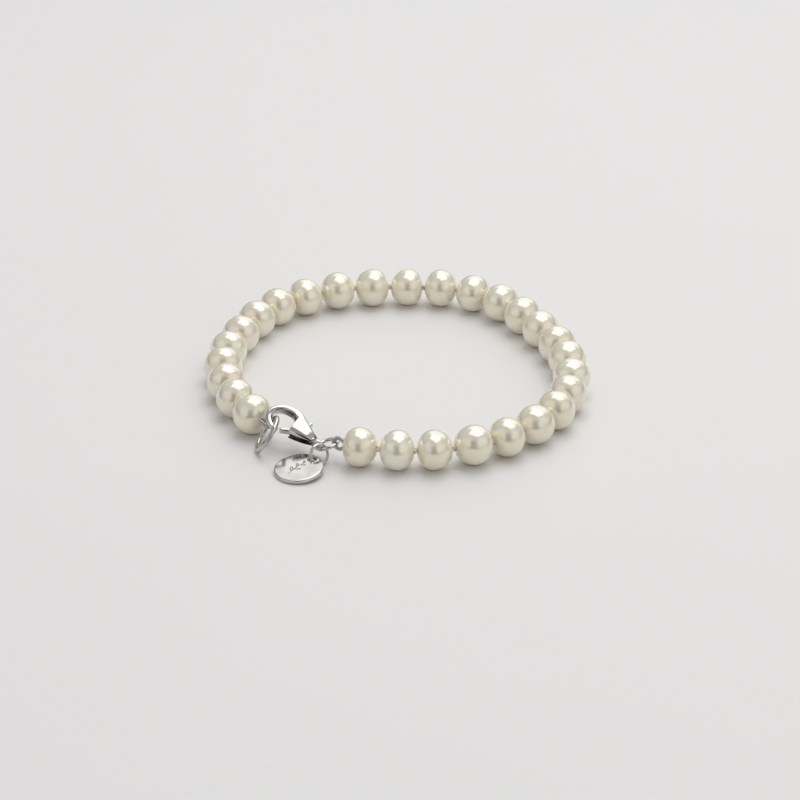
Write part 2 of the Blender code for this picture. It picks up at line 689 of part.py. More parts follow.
def build_bracelet():
    clear_scene()
    root = make_empty("bracelet")
    places = lay_out_chain()
    chain = places["tag_end"] - places["ring_end"]
    route = solve_route(chain.to_2d().length)
    mouths = build_pearls(route, root)
    build_thread(mouths, root)

    # The chain of clasp and rings is laid between the last pearl's mouth and the first one's.
    start = mouths[-1][1]
    end = mouths[0][0]
    gap = end - start
    turn = math.atan2(gap.y, gap.x) - math.atan2(chain.y, chain.x)
    shift = Vector((start.x, start.y, 0))
    back = Vector((places["ring_end"].x, places["ring_end"].y, 0))
    laid = Matrix.Translation(shift) @ Matrix.Rotation(turn, 4, "Z") @ Matrix.Translation(-back)
    links = make_empty("links", root, laid)

    for name, held_wire, slack in (("coil_loop_ring_end", CLOSING_RING_WIRE, COIL_SLACK_AT_RING),
                                   ("coil_loop_tag_end", JUMP_RING_WIRE, LINK_CLEARANCE)):
        build_coil_loop(name, held_wire, slack, places[name], links)
    for name, outer, wire in (("closing_ring", CLOSING_RING_OUTER, CLOSING_RING_WIRE),
                              ("jump_ring", JUMP_RING_OUTER, JUMP_RING_WIRE),
                              ("tag_ring", TAG_RING_OUTER, TAG_RING_WIRE)):
        make_object(name, ring_mesh(name, outer, wire), links, places[name], SILVER_FINISH)
    frame = build_clasp_body(places["clasp"], links)
    build_pin(frame)
    build_lever(frame)
    build_tag(places["tag"], links)
    centre_on_origin(root)


build_bracelet()
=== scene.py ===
import json
import math
import random

import bpy
import numpy as np
from mathutils import Matrix, Vector, noise


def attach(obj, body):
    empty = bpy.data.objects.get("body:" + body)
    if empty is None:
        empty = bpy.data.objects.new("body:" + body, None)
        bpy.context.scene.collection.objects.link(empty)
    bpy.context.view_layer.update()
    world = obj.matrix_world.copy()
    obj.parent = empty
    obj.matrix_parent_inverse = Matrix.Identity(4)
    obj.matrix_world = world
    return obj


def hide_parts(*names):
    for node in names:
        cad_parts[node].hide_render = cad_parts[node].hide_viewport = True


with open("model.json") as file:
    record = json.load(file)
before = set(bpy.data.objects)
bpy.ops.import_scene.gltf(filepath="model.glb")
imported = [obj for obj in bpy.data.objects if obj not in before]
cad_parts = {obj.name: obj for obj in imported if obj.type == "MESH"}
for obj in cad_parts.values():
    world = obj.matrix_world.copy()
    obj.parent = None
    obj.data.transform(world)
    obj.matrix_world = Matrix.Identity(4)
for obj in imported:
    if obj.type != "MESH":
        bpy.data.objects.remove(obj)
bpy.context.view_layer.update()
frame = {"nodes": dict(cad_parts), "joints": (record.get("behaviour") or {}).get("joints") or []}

# Pieces are shaped in millimetres, each in a frame of its own, and laid where their CAD nodes are.
mm = 0.001
rootBody = "bracelet"
leverBody = "lever"
upward = Vector((0, 0, 1))


def nodePoints(name):
    mesh = frame["nodes"][name].data
    flat = np.empty(len(mesh.vertices) * 3)
    mesh.vertices.foreach_get("co", flat)
    return np.unique(np.round(flat.reshape(-1, 3) / mm, 4), axis=0)


def measureNode(name):
    # A node's corners, their middle and their three axes, from the one with the least spread
    points = nodePoints(name)
    middle = points.mean(axis=0)
    axes = np.linalg.eigh(np.cov((points - middle).T))[1]
    return points, Vector(middle), [Vector(axes[:, place]) for place in range(3)]


def faceNormal(axes):
    # The flat side of a ring or disc, turned upwards
    return axes[0] if axes[0].z > 0 else -axes[0]


def axesAt(origin, xAxis, zHint):
    along = Vector(xAxis).normalized()
    up = Vector(zHint)
    up = (up - along * up.dot(along)).normalized()
    place = Matrix((along, up.cross(along), up)).transposed().to_4x4()
    place.translation = Vector(origin)
    return place


def roundTurns(sides):
    return np.linspace(0, 2 * math.pi, sides, endpoint=False)


def lengthsAlong(line):
    # How far each point of a line is from its start, along the line
    return np.concatenate(([0], np.cumsum(np.linalg.norm(np.diff(line, axis=0), axis=1))))


def skin(name, rings, loop=False):
    # Joins equal rings of points into one surface, which ends in flat caps unless it is a loop
    rings = np.asarray(rings, float)
    count, sides = rings.shape[:2]
    index = np.arange(count * sides).reshape(count, sides)
    nextRow = np.roll(index, -1, axis=0)
    if not loop:
        index = index[:-1]
        nextRow = nextRow[:-1]
    corners = (index, np.roll(index, -1, axis=1), np.roll(nextRow, -1, axis=1), nextRow)
    faces = np.stack(corners, axis=-1).reshape(-1, 4).tolist()
    if not loop:
        faces.append(list(range(sides))[::-1])
        faces.append(list(range((count - 1) * sides, count * sides)))
    mesh = bpy.data.meshes.new(name)
    mesh.from_pydata(rings.reshape(-1, 3).tolist(), [], faces)
    return mesh


def tube(name, path, radius, sides, up=(0, 0, 1), loop=False):
    # Carries a round section along a path and turns it as little as it can
    path = np.asarray(path, float)
    if loop:
        along = np.roll(path, -1, axis=0) - np.roll(path, 1, axis=0)
    else:
        along = np.gradient(path, axis=0)
    along /= np.linalg.norm(along, axis=1)[:, None]
    turns = roundTurns(sides)
    normal = np.asarray(up, float)
    rings = []
    for point, ahead in zip(path, along):
        normal = normal - ahead * normal.dot(ahead)
        normal /= np.linalg.norm(normal)
        across = np.cross(normal, ahead)
        rings.append(point + radius * (np.outer(np.cos(turns), across) + np.outer(np.sin(turns), normal)))
    return skin(name, rings, loop)


def turned(name, profile, sides):
    # Turns a profile of (radius, height) round Z
    turns = roundTurns(sides)
    rings = [[(size * math.cos(turn), size * math.sin(turn), height) for turn in turns]
             for size, height in profile]
    return skin(name, rings)


def box(name, low, high):
    corners = ((low[0], low[1]), (high[0], low[1]), (high[0], high[1]), (low[0], high[1]))
    return skin(name, [[(x, y, z) for x, y in corners] for z in (low[2], high[2])])


def joined(name, meshes):
    points = []
    faces = []
    for mesh in meshes:
        start = len(points)
        points += [vertex.co.copy() for vertex in mesh.vertices]
        faces += [[start + corner for corner in face.vertices] for face in mesh.polygons]
        bpy.data.meshes.remove(mesh)
    whole = bpy.data.meshes.new(name)
    whole.from_pydata(points, [], faces)
    return whole


def helperObject(mesh):
    item = bpy.data.objects.new(mesh.name, mesh)
    bpy.context.scene.collection.objects.link(item)
    return item


def cutOut(mesh):
    return "BOOLEAN", {"object": mesh, "operation": "DIFFERENCE", "solver": "EXACT"}


def fuseOn(mesh):
    return "BOOLEAN", {"object": mesh, "operation": "UNION", "solver": "EXACT"}


def polishDown(grain, passes):
    # One even skin over what was fused and cut, with its edges worn soft
    return [("REMESH", {"mode": "VOXEL", "voxel_size": grain}),
            ("SMOOTH", {"factor": 0.5, "iterations": passes})]


def worked(mesh, steps):
    # Puts a list of modifiers on a mesh and returns the finished mesh
    item = helperObject(mesh)
    helpers = [item]
    for kind, settings in steps:
        modifier = item.modifiers.new(kind, kind)
        for key, value in settings.items():
            if key == "object":
                value = helperObject(value)
                helpers.append(value)
            setattr(modifier, key, value)
    shape = item.evaluated_get(bpy.context.evaluated_depsgraph_get())
    made = bpy.data.meshes.new_from_object(shape)
    for helper in helpers:
        bpy.data.objects.remove(helper)
    made.name = mesh.name
    return made


def layPiece(name, mesh, place, finish, nodes, body=rootBody, creaseDegrees=35):
    mesh.transform(Matrix.Scale(mm, 4) @ place)
    mesh.name = name
    mesh.materials.clear()
    mesh.materials.append(finish)
    mesh.shade_smooth()
    mesh.set_sharp_from_angle(angle=math.radians(creaseDegrees))
    piece = bpy.data.objects.new(name, mesh)
    bpy.context.scene.collection.objects.link(piece)
    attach(piece, body)
    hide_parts(*nodes)


class NodeTree:
    # Short calls for the nodes of a material or of the room
    def __init__(self, tree):
        self.tree = tree

    def node(self, kind, **settings):
        made = self.tree.nodes.new(kind)
        for key, value in settings.items():
            setattr(made, key, value)
        return made

    def link(self, source, target):
        self.tree.links.new(source, target)

    def span(self, source, low, high, fromLow, fromHigh, **settings):
        made = self.node("ShaderNodeMapRange", **settings)
        made.inputs["From Min"].default_value = fromLow
        made.inputs["From Max"].default_value = fromHigh
        made.inputs["To Min"].default_value = low
        made.inputs["To Max"].default_value = high
        self.link(source, made.inputs["Value"])
        return made.outputs["Result"]

    def times(self, first, second):
        made = self.node("ShaderNodeMath", operation="MULTIPLY")
        self.link(first, made.inputs[0])
        if isinstance(second, float):
            made.inputs[1].default_value = second
        else:
            self.link(second, made.inputs[1])
        return made.outputs["Value"]


class Finish(NodeTree):
    # A material of one shader, and what colours and roughens it
    def __init__(self, name, shader):
        self.material = bpy.data.materials.new(name)
        self.material.use_nodes = True
        super().__init__(self.material.node_tree)
        self.shader = self.tree.nodes["Principled BSDF"]
        for label, value in shader.items():
            self.shader.inputs[label].default_value = value

    def noise(self, scale, detail, stretch=(1, 1, 1)):
        # Noise in the object's own metres: scale is in patches per metre
        where = self.node("ShaderNodeTexCoord")
        stretched = self.node("ShaderNodeMapping")
        stretched.inputs["Scale"].default_value = stretch
        made = self.node("ShaderNodeTexNoise")
        made.inputs["Scale"].default_value = scale
        made.inputs["Detail"].default_value = detail
        self.link(where.outputs["Object"], stretched.inputs["Vector"])
        self.link(stretched.outputs["Vector"], made.inputs["Vector"])
        return made.outputs["Fac"]

    def painted(self, label):
        # A value that a mesh carries at its corners
        return self.node("ShaderNodeAttribute", attribute_name=label).outputs["Fac"]

    def mix(self, share, first, second):
        made = self.node("ShaderNodeMix", data_type="RGBA")
        self.link(share, made.inputs["Factor"])
        for colour, label in ((first, "A"), (second, "B")):
            socket = [item for item in made.inputs if item.name == label and item.type == "RGBA"][0]
            if isinstance(colour, tuple):
                socket.default_value = (*colour, 1)
            else:
                self.link(colour, socket)
        return [item for item in made.outputs if item.type == "RGBA"][0]

    def bump(self, height, strength, distance, onto=None):
        made = self.node("ShaderNodeBump")
        made.inputs["Strength"].default_value = strength
        made.inputs["Distance"].default_value = distance
        self.link(height, made.inputs["Height"])
        if onto is not None:
            self.link(onto, made.inputs["Normal"])
        return made.outputs["Normal"]

    def complete(self, colour, roughness=None, normal=None):
        # Joins what was made to the shader and gives the material
        for source, label in ((colour, "Base Color"), (roughness, "Roughness"), (normal, "Normal")):
            if source is not None:
                self.link(source, self.shader.inputs[label])
        return self.material


# Scales are in patches per metre and depths in metres
nacreLook = {
    "shader": {
        "Metallic": 0.34,
        "IOR": 1.60,
        "Subsurface Weight": 0.50,
        "Subsurface Scale": 0.0013,
        "Subsurface Radius": (1.0, 0.72, 0.48),
        "Coat Weight": 0.30,
        "Coat Roughness": 0.07,
        "Coat IOR": 1.50,
        "Sheen Weight": 0.40,
        "Sheen Roughness": 0.45,
        "Sheen Tint": (1.0, 0.95, 0.84, 1),
        "Thin Film Thickness": 385.0,
        "Thin Film IOR": 1.50,
    },
    "cream": (0.95, 0.855, 0.67),
    "white": (0.97, 0.91, 0.77),
    "rose": (0.96, 0.86, 0.74),
    "patches": 260,
    "patchEdges": (0.38, 0.62),
    "clouds": 700,
    "cloudEdges": (0.35, 0.70),
    "cloudShare": 0.35,     # how much of the colour the clouds can whiten
    "roughness": (0.14, 0.20),
    "grain": 2600,
    "grainBump": (0.10, 0.00004),
    "waves": 650,
    "waveBump": (0.25, 0.00006),
}


def nacreFinish():
    look = nacreLook
    finish = Finish("nacre", look["shader"])
    patches = finish.span(finish.noise(look["patches"], 2), 0, 1, *look["patchEdges"])
    clouds = finish.span(finish.noise(look["clouds"], 4), 0, 1, *look["cloudEdges"])
    base = finish.mix(finish.painted("pearlTone"), look["cream"], look["white"])
    rosy = finish.mix(patches, base, look["rose"])
    colour = finish.mix(finish.times(clouds, look["cloudShare"]), rosy, look["white"])
    roughness = finish.span(clouds, *look["roughness"], 0, 1)
    grain = finish.bump(finish.noise(look["grain"], 4), *look["grainBump"])
    waves = finish.bump(finish.noise(look["waves"], 2), *look["waveBump"], grain)
    return finish.complete(colour, roughness, waves)


silkLook = {
    "shader": {
        "Roughness": 0.62,
        "Sheen Weight": 0.5,
        "Sheen Roughness": 0.4,
        "Subsurface Weight": 0.15,
        "Subsurface Scale": 0.0004,
        "Subsurface Radius": (1.0, 0.8, 0.6),
    },
    "deep": (0.90, 0.84, 0.71),
    "light": (0.98, 0.95, 0.87),
    "fibres": 5200,
    "fibreBump": (0.5, 0.00004),
}


def silkFinish():
    look = silkLook
    finish = Finish("silkThread", look["shader"])
    fibres = finish.noise(look["fibres"], 3)
    colour = finish.mix(fibres, look["deep"], look["light"])
    return finish.complete(colour, normal=finish.bump(fibres, *look["fibreBump"]))


silverLook = {
    "shader": {"Metallic": 1.0},
    "bright": (0.64, 0.625, 0.60),
    "tarnished": (0.47, 0.44, 0.405),
    # the dark colour of painted shade, for the clasp's slot, the hook's inner side and the tag's engraved
    # lines
    "paintedShade": (0.19, 0.17, 0.155),
    "tarnish": 260,
    "tarnishEdges": (0.50, 0.80),
    "clouds": 420,
    "cloudEdges": (0.3, 0.7),
    "cloudRoughness": (0.7, 1.5),       # times the piece's own roughness
    "cloudBump": (0.12, 0.00006),
    "hair": 2400,
    "hairStretch": (1.0, 9.0, 2.0),
    "hairDepth": 0.00001,
    "dents": 1100,
    "dentBump": (0.14, 0.00003),
}
# Roughness and scratches of each kind of silver
silverKinds = {
    "claspSilver": (0.075, 0.30),
    "ringWireSilver": (0.065, 0.20),
    "tagSilver": (0.10, 0.35),
    "coilWireSilver": (0.12, 0.10),
}


def silverFinish(name):
    # Polished silver with soft wear: cloudy roughness, fine scratches and a breath of warm tarnish, with
    # painted shade where a piece marks its inner places
    look = silverLook
    roughness, scratches = silverKinds[name]
    finish = Finish(name, look["shader"])
    clouds = finish.noise(look["clouds"], 3)
    hair = finish.noise(look["hair"], 2, look["hairStretch"])
    tarnish = finish.span(finish.noise(look["tarnish"], 3), 0, 1, *look["tarnishEdges"])
    bright = finish.mix(tarnish, look["bright"], look["tarnished"])
    # Painted shade: the inside attribute darkens the silver towards the shade colour in the slot, on the
    # hook's inner side and in engraved lines
    colour = finish.mix(finish.painted("inside"), bright, look["paintedShade"])
    least, most = look["cloudRoughness"]
    cloudy = finish.span(clouds, roughness * least, roughness * most, *look["cloudEdges"])
    wear = finish.bump(hair, scratches, look["hairDepth"])
    dents = finish.bump(finish.noise(look["dents"], 2), *look["dentBump"], wear)
    return finish.complete(colour, cloudy, finish.bump(clouds, *look["cloudBump"], dents))


nacre = nacreFinish()
silk = silkFinish()
claspSilver = silverFinish("claspSilver")
wireSilver = silverFinish("ringWireSilver")
tagSilver = silverFinish("tagSilver")
coilSilver = silverFinish("coilWireSilver")
print("finishes ready")

pearlLook = {
    "count": 28,
    "around": 72,
    "bands": 44,
    "fullness": 0.86,
    "bore": 0.90,
    "boreSteps": 5,
    "boreReach": 0.97,      # share of the half length that the bore's own rings reach
    "boreWaist": 0.93,      # share of the mouth's width that the bore has inside
    "lump": 0.085,          # largest slow rise or fall of the skin
    "lumpsPerMm": 0.34,
    "ripple": 0.012,
    "ripplesPerMm": 1.1,
    "smoothMouth": 6,       # lumps fade out over a sixth of the girth
    "lean": 0.05,           # how far the widest place may sit off the middle
    "plump": 0.44,          # how much longer the skin is than the plain solid
    "tones": (0.25, 0.95),
    "offsets": 40,          # how far apart the pearls' lumps are drawn from
}


def pearlMesh(name, length, girth, luck):
    look = pearlLook
    bore = look["bore"] / 2
    first = math.asin((bore / (girth / 2)) ** (1 / look["fullness"]))
    lean = luck.uniform(-look["lean"], look["lean"])
    offset = Vector([luck.uniform(-look["offsets"], look["offsets"]) for _ in range(3)])
    turns = roundTurns(look["around"])
    rings = []
    for step in np.linspace(first, math.pi - first, look["bands"] + 1):
        place = -length / 2 * math.cos(step) / math.cos(first)
        size = girth / 2 * math.sin(step) ** look["fullness"]
        place += lean * length * math.sin(step) ** 2
        fade = min(1.0, (size - bore) / (girth / look["smoothMouth"]))
        ring = []
        for turn in turns:
            point = Vector((place, size * math.cos(turn), size * math.sin(turn)))
            slow = noise.noise(point * look["lumpsPerMm"] + offset) * look["lump"]
            quick = noise.noise(point * look["ripplesPerMm"] - offset) * look["ripple"]
            grown = 1 + fade * (slow + quick) / max(size, bore)
            ring.append((place, point.y * grown, point.z * grown))
        rings.append(ring)
    half = length / 2
    inner = bore * look["boreWaist"]
    for share in np.linspace(look["boreReach"], -look["boreReach"], look["boreSteps"]):
        rings.append([(half * share, inner * math.cos(turn), inner * math.sin(turn)) for turn in turns])
    mesh = skin(name, rings, loop=True)
    mesh.flip_normals()
    return mesh


def measurePearls():
    names = [f"pearl_{number + 1:02d}" for number in range(pearlLook["count"])]
    found = [measureNode(name) for name in names]
    pearls = []
    for index, (points, middle, axes) in enumerate(found):
        before = found[max(index - 1, 0)][1]
        after = found[min(index + 1, len(found) - 1)][1]
        onward = after - before
        along = max(axes, key=lambda axis: abs(axis.dot(onward)))
        if along.dot(onward) < 0:
            along = -along
        reach = points @ np.array(along)
        pearls.append({
            "name": names[index],
            "middle": middle,
            "along": along,
            "length": reach.max() - reach.min(),
            "girth": points[:, 2].max() - points[:, 2].min(),
        })
    return pearls


def buildPearls(pearls):
    luck = random.Random(28)
    for pearl in pearls:
        mesh = pearlMesh(pearl["name"], pearl["length"] + pearlLook["plump"], pearl["girth"], luck)
        mesh.transform(axesAt(pearl["middle"], pearl["along"], upward))
        lowest = min(vertex.co.z for vertex in mesh.vertices)
        mesh.transform(Matrix.Translation((0, 0, -lowest)))     # each pearl touches the floor
        tone = mesh.attributes.new("pearlTone", "FLOAT", "POINT")
        value = luck.uniform(*pearlLook["tones"])
        tone.data.foreach_set("value", np.full(len(mesh.vertices), value, np.float32))
        name = "nacrePearl" + pearl["name"].split("_")[1]
        layPiece(name, mesh, Matrix(), nacre, [pearl["name"]], creaseDegrees=60)


pearlString = measurePearls()
buildPearls(pearlString)
print("pearls laid")

threadLook = {
    "thread": 0.50,
    "strand": 0.27,
    "twistsPerMm": 1.3,
    "strandSteps": 40,
    "knotReach": 0.37,      # from the knot's middle to the middle of its outer strands
    "knotDepth": 1.2,       # along the string, on the same scale as the reach of 3
    "knotStrand": 0.17,
    "knotSteps": 72,
    "knotTurns": 2,         # largest turn of a knot about the string, in radians
    "insideMouth": 0.55,    # how far the twist shows into each drill hole
    "core": 0.15,
    "sides": 8,
}


def knotMesh(name, middle, along, turn):
    # A pulled-tight overhand knot, flat across the string
    look = threadLook
    size = look["knotReach"] / 3
    place = axesAt(middle, along, upward)
    points = []
    for angle in roundTurns(look["knotSteps"]):
        across = math.sin(angle) + 2 * math.sin(2 * angle)
        rise = math.cos(angle) - 2 * math.cos(2 * angle)
        depth = -look["knotDepth"] * math.sin(3 * angle)
        flat = Matrix.Rotation(turn, 3, "X") @ Vector((depth * size, across * size, rise * size))
        points.append(place @ flat)
    return tube(name, points, look["knotStrand"], look["sides"], loop=True)


def strandMesh(name, start, end, turn):
    look = threadLook
    along = end - start
    place = axesAt(start, along, upward)
    offset = (look["thread"] - look["strand"]) / 2
    points = []
    for share in np.linspace(0, 1, look["strandSteps"]):
        distance = share * along.length
        angle = turn + 2 * math.pi * look["twistsPerMm"] * distance
        points.append(place @ Vector((distance, offset * math.cos(angle), offset * math.sin(angle))))
    return tube(name, points, look["strand"] / 2, look["sides"])


def buildThread(pearls):
    look = threadLook
    meshes = []
    core = [pearls[0]["middle"]]
    luck = random.Random(7)
    for first, second in zip(pearls, pearls[1:]):
        leave = first["middle"] + first["along"] * first["length"] / 2
        enter = second["middle"] - second["along"] * second["length"] / 2
        turn = luck.uniform(0, look["knotTurns"])
        meshes.append(knotMesh("knot", (leave + enter) / 2, enter - leave, turn))
        start = leave - first["along"] * look["insideMouth"]
        end = enter + second["along"] * look["insideMouth"]
        for turn in (0, math.pi):
            meshes.append(strandMesh("strand", start, end, turn))
        core += [leave, enter]
    core.append(pearls[-1]["middle"])
    meshes.append(tube("core", core, look["core"], look["sides"]))
    whole = joined("knottedSilk", meshes)
    layPiece("knottedSilk", whole, Matrix(), silk, ["silk_thread"], creaseDegrees=80)


buildThread(pearlString)
print("silk knotted")

# Split is the cut where the wire's ends meet, and splitTurn its place in degrees
ringLook = {
    "closing_ring": {"piece": "closingRing", "outer": 6.8, "wire": 0.78, "split": 0.0, "splitTurn": 0},
    "jump_ring": {"piece": "tailJumpRing", "outer": 4.0, "wire": 0.60, "split": 0.05, "splitTurn": 200},
    "tag_ring": {"piece": "tagRing", "outer": 3.7, "wire": 0.50, "split": 0.05, "splitTurn": 30},
}
ringSteps = 96
ringSides = 20


def ringPlace(node):
    _, middle, axes = measureNode(node)
    normal = faceNormal(axes)
    return axesAt(middle, normal.cross(upward), normal)


def ringMesh(look):
    middle = (look["outer"] - look["wire"]) / 2
    gap = look["split"] / middle
    closed = gap == 0
    turns = np.linspace(gap / 2, 2 * math.pi - gap / 2, ringSteps + 1) + math.radians(look["splitTurn"])
    if closed:
        turns = turns[:-1]
    path = [(middle * math.cos(angle), middle * math.sin(angle), 0) for angle in turns]
    return tube(look["piece"], path, look["wire"] / 2, ringSides, loop=closed)


def buildRings():
    for node, look in ringLook.items():
        layPiece(look["piece"], ringMesh(look), ringPlace(node), wireSilver, [node])


buildRings()
print("rings closed")

coilLook = {
    "coil": 0.70,
    "wire": 0.13,
    "pitch": 0.142,
    "stepsPerTurn": 14,
    "wireSides": 6,
    "heart": 0.92,          # share of the winding's radius that the plain core fills
    "heartSides": 10,
    "heartEvery": 8,
    "loopWidth": 2.7,
    "bend": 118,            # degrees that the loop's bend runs to each side
    "bendSteps": 25,
    "leaves": -0.10,        # from the plain pearl's mouth to the first turn, sunk in its dimple
    "legs": 0.37,           # from the loop's middle line to each leg at the mouth
    "legRun": (0.22, 0.03),
    "lineSteps": 400,
    "easing": 60,
}


def coilPath(reach):
    # The middle line of a loop that leaves a pearl along X, bends round and comes back
    look = coilLook
    bend = (look["loopWidth"] - look["coil"]) / 2
    middle = reach - look["coil"] / 2 - bend
    start = (look["leaves"], look["legs"])
    points = [start, (start[0] + look["legRun"][0], start[1] + look["legRun"][1])]
    for angle in np.radians(np.linspace(look["bend"], -look["bend"], look["bendSteps"])):
        points.append((middle + bend * math.cos(angle), bend * math.sin(angle)))
    points += [(x, -y) for x, y in reversed(points[:2])]
    points = np.array(points)
    steps = lengthsAlong(points)
    fine = np.linspace(0, steps[-1], look["lineSteps"])
    smooth = np.stack([np.interp(fine, steps, points[:, column]) for column in (0, 1)], axis=1)
    for _ in range(look["easing"]):
        smooth[1:-1] = (smooth[:-2] + 2 * smooth[1:-1] + smooth[2:]) / 4
    return smooth


def coilMesh(name, reach):
    look = coilLook
    line = coilPath(reach)
    steps = lengthsAlong(line)
    turns = int(steps[-1] / look["pitch"])
    radius = (look["coil"] - look["wire"]) / 2
    places = np.linspace(0, steps[-1], turns * look["stepsPerTurn"])
    x = np.interp(places, steps, line[:, 0])
    y = np.interp(places, steps, line[:, 1])
    ahead = np.stack((np.gradient(x), np.gradient(y)), axis=1)
    ahead /= np.linalg.norm(ahead, axis=1)[:, None]
    angle = 2 * math.pi * places / look["pitch"]
    aside = radius * np.cos(angle)
    path = np.stack((x - ahead[:, 1] * aside, y + ahead[:, 0] * aside, radius * np.sin(angle)), axis=1)
    spring = tube(name, path, look["wire"] / 2, look["wireSides"])
    core = np.column_stack((line, np.zeros(len(line))))[::look["heartEvery"]]
    heart = tube("heart", core, radius * look["heart"], look["heartSides"])
    return joined(name, [spring, heart])


def buildCoils(pearls):
    for node, pearl, side, piece in (("coil_loop_ring_end", pearls[-1], 1, "coilAtRing"),
                                     ("coil_loop_tag_end", pearls[0], -1, "coilAtTag")):
        points, middle, axes = measureNode(node)
        mouth = pearl["middle"] + pearl["along"] * (side * pearl["length"] / 2)
        place = axesAt(mouth, middle - mouth, axes[0])
        ahead = np.array(place.to_3x3().col[0])
        reach = (points @ ahead).max() - mouth.dot(Vector(ahead))
        mesh = coilMesh(piece, reach)
        layPiece(piece, mesh, place, coilSilver, [node], creaseDegrees=80)


buildCoils(pearlString)
print("coils wound")

# The clasp's frame: the pin is the origin, X points to the tail, Y to the spine and Z out of the face.
claspLook = {
    "length": 11.0,
    "width": 5.0,
    "thick": 2.6,
    "dip": 17.5,            # degrees, tail down
    "grain": 0.055,         # size of the faces after fusing
    "soften": 17,
    "squareness": 0.52,
    "bodySides": 48,
    "bodySteps": 40,
    "armSquareness": 0.58,
    "armSides": 40,
    "armSteps": 110,
    "hookMiddle": (-3.454, 0.21),
    "hookReach": (2.85, 2.10),
    "eyeMiddle": (3.41, -0.525),
    "eyeHole": 1.3,
    "eyeWire": 0.7,
    "eyeSides": 20,
    "eyeSteps": 64,
    "slotFloor": (1.65, 1.0),
    "slotTaper": (2.62, 0.30, 0.1),     # where the slot's tail end is, its half height there and its depth
    "slotLap": 0.1,
    "cutReach": 9,          # how far the cutters run past the casting
    # How dark the painted shade is in the slot and on the hook's inner side, and where it falls
    "slotShade": 0.80,
    "slotShadeFrom": -1.75,
    "slotShadeMargin": 0.05,
    "hookShade": 2.4,
    "hookShadeFacing": 0.25,            # from how far a face has to look at the hook's middle
    "hookShadeFrom": -5.2,
    "hookShadeOver": 2.5,
}

# Along, lever edge, spine edge and thickness, as shares of the length, the width and the thickness
claspBodyRows = (
    (0.275, -0.150, 0.010, 0.32),
    (0.255, -0.180, 0.060, 0.44),
    (0.180, -0.225, 0.150, 0.66),
    (0.075, -0.275, 0.275, 0.88),
    (-0.040, -0.320, 0.415, 1.00),
    (-0.155, -0.355, 0.545, 0.98),
)

# Bearing in degrees, width and thickness of the hook's arm, the same way
claspArmRows = (
    (57, 0.330, 0.92),
    (73, 0.262, 0.86),
    (90, 0.234, 0.79),
    (112, 0.226, 0.71),
    (134, 0.224, 0.63),
    (156, 0.222, 0.56),
    (178, 0.218, 0.50),
    (200, 0.212, 0.45),
    (222, 0.202, 0.41),
    (244, 0.184, 0.38),
    (266, 0.150, 0.34),
)
claspArmRoot = (-0.94, 1.50, 60.0, 1.50, 2.34)     # place, bearing of its width, width and thickness

leverLook = {
    "thick": 1.2,
    "gap": 0.10,
    "gateBearing": 207.0,
    "gateWidth": 0.75,
    "gateEndGap": 0.25,
    "gateThick": 0.96,      # share of the thickness
    "nub": 0.70,
    "nubFoot": 0.8,         # share of the nub's width at the pin
    "nubBearing": 80.0,
    "nubLength": 2.28,
    "nubThick": 0.94,
    "boss": 1.5,
    "bossSides": 48,
    "pinEase": 0.06,
    "holeReach": 3,
    "holeSides": 40,
    "grain": 0.045,
    "soften": 6,
    "barSides": 32,
    "barSteps": 24,
    "barSquareness": 0.72,
    "barEnd": 0.07,         # share of a bar that its rounded end takes
    "barEndFall": 0.35,     # how much thinner it gets there
}

pinLook = {
    "across": 0.7,
    "sunk": 0.11,           # how far its ends lie inside the clasp's faces
    "heads": ((0.02, 0.05), (0.245, 0.035), (0.35, -0.02)),     # radius and rise of the domed ends
    "sides": 40,
}


def claspPlace():
    joint = frame["joints"][0]
    face = -Vector(joint["axis"]).normalized()
    level = math.hypot(face.x, face.y)
    dip = math.radians(claspLook["dip"])
    spread = math.acos(math.tan(dip) * face.z / level)
    pin = Vector(joint["pos_m"]) / mm
    towardTail = measureNode("jump_ring")[1] - pin
    choices = []
    for turn in (spread, -spread):
        bearing = math.atan2(face.y, face.x) + turn
        run = math.cos(dip)
        choices.append(Vector((math.cos(bearing) * run, math.sin(bearing) * run, -math.sin(dip))))
    tail = max(choices, key=lambda choice: choice.dot(towardTail))
    return axesAt(pin, tail, face)


def roundedSection(sides, squareness):
    turns = roundTurns(sides)
    across = np.sign(np.cos(turns)) * np.abs(np.cos(turns)) ** squareness
    rise = np.sign(np.sin(turns)) * np.abs(np.sin(turns)) ** squareness
    return across, rise


def smoothRows(rows, count):
    # Eases a table's columns between its rows
    rows = np.array(rows, float)
    fine = np.linspace(0, len(rows) - 1, count)
    slopes = np.gradient(rows, axis=0)
    low = np.minimum(fine.astype(int), len(rows) - 2)
    share = (fine - low)[:, None]
    square = share ** 2
    cube = share ** 3
    leaving = (2 * cube - 3 * square + 1) * rows[low] + (cube - 2 * square + share) * slopes[low]
    arriving = (3 * square - 2 * cube) * rows[low + 1] + (cube - square) * slopes[low + 1]
    return leaving + arriving


def claspBlock():
    look = claspLook
    across, rise = roundedSection(look["bodySides"], look["squareness"])
    rings = []
    for along, near, far, thick in smoothRows(claspBodyRows, look["bodySteps"]):
        middle = (near + far) / 2 * look["width"]
        half = (far - near) / 2 * look["width"]
        y = middle + half * across
        z = thick * look["thick"] / 2 * rise
        rings.append(np.stack((np.full_like(y, along * look["length"]), y, z), axis=1))
    return skin("claspBlock", rings)


def onHook(bearing):
    # A place on the middle line of the hook's arm
    middle = claspLook["hookMiddle"]
    reach = claspLook["hookReach"]
    angle = math.radians(bearing)
    return middle[0] + reach[0] * math.cos(angle), middle[1] + reach[1] * math.sin(angle)


